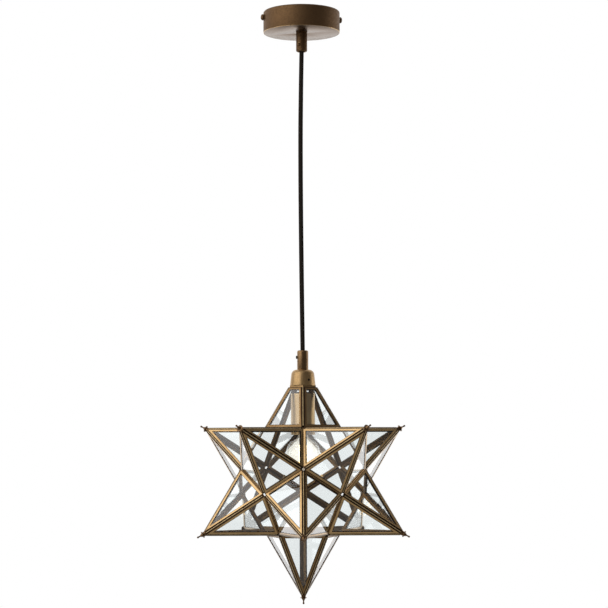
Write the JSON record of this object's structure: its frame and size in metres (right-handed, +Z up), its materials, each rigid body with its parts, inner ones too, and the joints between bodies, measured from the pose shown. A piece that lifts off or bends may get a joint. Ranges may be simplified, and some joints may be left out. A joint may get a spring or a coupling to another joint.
{
  "type": "star pendant lamp",
  "caption": "Glass and brass star pendant of pyramid rays on a fabric cord, with a round ceiling canopy, a hinged ray and a lamp inside.",
  "frame": {"origin": "middle of the ceiling strap's top face, on the ceiling, between its two screw holes", "axes": "+Z up to the ceiling, -Y towards the viewer of the picture, +X to the right"},
  "size_m": [0.2696, 0.2832, 0.77],
  "materials": {
    "antique_brass": "aged, satin",
    "bright_brass": "plain",
    "pane_glass": "clear",
    "lamp_glass": "clear",
    "filament": "phosphor coated",
    "black_braid": "braided",
    "core_sheath": "insulation",
    "insulator": "moulded",
    "plated_steel": "plated"
  },
  "bodies": {
    "ceiling_strap": {"ceiling_bracket": "plated_steel"},
    "canopy": {"canopy": "antique_brass", "canopy_nipple": "plated_steel", "canopy_nut": "plated_steel", "upper_cord_grip": "antique_brass", "upper_grip_screw": "antique_brass", "cord_tail_upper": "black_braid", "terminal_block": "insulator", "terminal_screws": "plated_steel", "cord_cores": "core_sheath"},
    "canopy_screw_left": {"canopy_screw_left": "antique_brass"},
    "canopy_screw_right": {"canopy_screw_right": "antique_brass"},
    "cord": {"cord": "black_braid"},
    "cord_end": {"cord_tail_lower": "black_braid"},
    "lamp": {"bulb_cap": "plated_steel", "bulb_contact": "plated_steel", "bulb_glass": "lamp_glass", "bulb_stem": "lamp_glass", "bulb_filaments": "filament"},
    "door_ray": {"door_ray_cames": "antique_brass", "door_ray_panes": "pane_glass", "door_finial": "antique_brass", "door_hinge_knuckle": "antique_brass", "door_tongues": "antique_brass"},
    "star": {"bottom_ray_cames": "antique_brass", "bottom_ray_panes": "pane_glass", "collar_plate": "antique_brass", "cup_screw": "antique_brass", "hinge_knuckles": "antique_brass", "hinge_pin": "antique_brass", "holder_contacts": "bright_brass", "lampholder_cap": "antique_brass", "lampholder_core": "insulator", "lampholder_sleeve": "antique_brass", "lower_1_ray_cames": "antique_brass", "lower_1_ray_panes": "pane_glass", "lower_2_ray_cames": "antique_brass", "lower_2_ray_panes": "pane_glass", "lower_3_ray_cames": "antique_brass", "lower_3_ray_panes": "pane_glass", "lower_4_ray_cames": "antique_brass", "lower_4_ray_panes": "pane_glass", "lower_5_ray_cames": "antique_brass", "lower_5_ray_panes": "pane_glass", "lower_cord_grip": "antique_brass", "lower_grip_screw": "antique_brass", "socket_cup": "antique_brass", "star_nipple": "plated_steel", "star_nut": "plated_steel", "tip_finials": "antique_brass", "top_ray_cames": "antique_brass", "top_ray_panes": "pane_glass", "upper_1_ray_cames": "antique_brass", "upper_1_ray_panes": "pane_glass", "upper_2_ray_cames": "antique_brass", "upper_2_ray_panes": "pane_glass", "upper_4_ray_cames": "antique_brass", "upper_4_ray_panes": "pane_glass", "upper_5_ray_cames": "antique_brass", "upper_5_ray_panes": "pane_glass"}
  },
  "joints": [
    {"name": "canopy_drop", "type": "slide", "parent": "ceiling_strap", "child": "canopy", "axis": [0, 0, -1], "range_m": [0, 0.04]},
    {"name": "canopy_screw_right_out", "type": "slide", "parent": "ceiling_strap", "child": "canopy_screw_right", "axis": [0.9816, 0.1908, 0], "range_m": [0, 0.005]},
    {"name": "canopy_screw_left_out", "type": "slide", "parent": "ceiling_strap", "child": "canopy_screw_left", "axis": [-0.9816, -0.1908, 0], "range_m": [0, 0.005]},
    {"name": "pendant_swing", "type": "hinge", "parent": "canopy", "child": "cord", "pos_m": [0, 0, -0.049], "axis": [0, 1, 0], "range_deg": [-15, 15]},
    {"name": "star_tilt", "type": "hinge", "parent": "cord", "child": "cord_end", "pos_m": [0, 0, -0.448], "axis": [1, 0, 0], "range_deg": [-15, 15]},
    {"name": "star_turn", "type": "hinge", "parent": "cord_end", "child": "star", "pos_m": [0, 0, -0.612], "axis": [0, 0, 1], "range_deg": [-180, 180]},
    {"name": "door_swing", "type": "hinge", "parent": "star", "child": "door_ray", "pos_m": [0, 0.04331, -0.54192], "axis": [1, 0, 0], "range_deg": [0, 100]},
    {"name": "lamp_out", "type": "slide", "parent": "star", "child": "lamp", "axis": [0, 0, -1], "range_m": [0, 0.025]}
  ]
}
